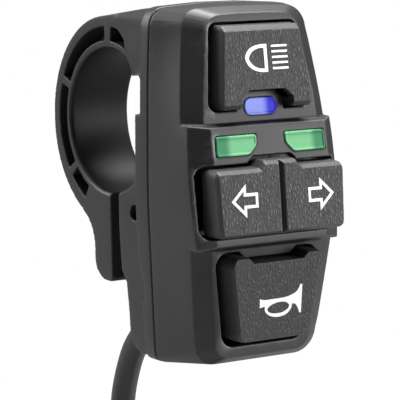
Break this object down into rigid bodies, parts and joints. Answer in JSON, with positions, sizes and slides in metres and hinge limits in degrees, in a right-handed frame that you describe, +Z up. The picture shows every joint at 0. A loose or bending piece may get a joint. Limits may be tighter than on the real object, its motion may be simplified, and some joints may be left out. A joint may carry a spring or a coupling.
{
  "type": "handlebar switch cluster",
  "caption": "Clamp-on handlebar switch cluster with a headlight push button, a turn signal rocker, a horn button, indicator lenses and a cable with a round connector.",
  "frame": {"origin": "centre of the handlebar bore, in the middle of the clamp's width", "axes": "X along the handlebar, Z up, buttons facing -Y"},
  "size_m": [0.026, 0.0592, 0.1291],
  "materials": {
    "case": "fine textured dark grey moulding",
    "button": "leather-grained dark grey moulding",
    "seal": "matt black rubber",
    "steel": "plated steel",
    "brass": "turned brass",
    "switch_body": "black moulding",
    "stem": "natural moulding",
    "blue_lens": "clear blue lens",
    "green_lens": "milky green lens",
    "board": "green solder mask",
    "wire": "coloured wire covering",
    "cable": "satin black cable sheath",
    "connector": "black moulding"
  },
  "bodies": {
    "base": {"front_case": "case", "rear_case": "case", "case_seal": "seal", "case_screws": "steel", "clamp_screw": "steel", "clamp_washer": "steel", "clamp_insert": "brass", "headlight_spring": "steel", "headlight_switch": "switch_body", "rocker_pin": "steel", "turn_switch": "steel", "horn_spring": "steel", "horn_switch": "switch_body", "beam_lens": "blue_lens", "turn_lens_left": "green_lens", "turn_lens_right": "green_lens", "beam_led": "stem", "turn_leds": "stem", "circuit_board": "board", "board_screws": "steel", "lead_socket": "stem", "inner_wires": "wire", "cable_stub": "cable", "cable_gland": "seal", "cable": "cable", "cable_coil": "cable", "cable_tie": "switch_body", "connector_body": "connector", "connector_ring": "connector", "connector_pins": "brass"},
    "headlight_push": {"headlight_button": "button"},
    "headlight_plunger": {"headlight_stem": "stem"},
    "rocker": {"turn_rocker": "button"},
    "turn_carrier": {"turn_slider": "switch_body"},
    "horn_push": {"horn_button": "button"},
    "horn_plunger": {"horn_stem": "stem"}
  },
  "joints": [
    {"name": "headlight_press", "type": "slide", "parent": "base", "child": "headlight_push", "axis": [0, 1, 0], "range_m": [0, 0.001], "stiffness_N_per_m": 700, "deforming": ["headlight_spring"]},
    {"name": "headlight_plunge", "type": "slide", "parent": "base", "child": "headlight_plunger", "axis": [0, 1, 0], "range_m": [0, 0.001]},
    {"name": "turn_tip", "type": "hinge", "parent": "base", "child": "rocker", "pos_m": [0, -0.0334, -0.00815], "axis": [0, 0, 1], "range_deg": [-7, 7]},
    {"name": "turn_slide", "type": "slide", "parent": "base", "child": "turn_carrier", "axis": [1, 0, 0], "range_m": [-0.00055, 0.00055]},
    {"name": "horn_press", "type": "slide", "parent": "base", "child": "horn_push", "axis": [0, 1, 0], "range_m": [0, 0.0008], "stiffness_N_per_m": 600, "deforming": ["horn_spring"]},
    {"name": "horn_plunge", "type": "slide", "parent": "base", "child": "horn_plunger", "axis": [0, 1, 0], "range_m": [0, 0.0008]}
  ],
  "couplings": [
    {"joint": "headlight_plunge", "follows": "headlight_press", "ratio": 1},
    {"joint": "turn_slide", "follows": "turn_tip", "m_per_rad": -0.0042},
    {"joint": "horn_plunge", "follows": "horn_press", "ratio": 1}
  ]
}
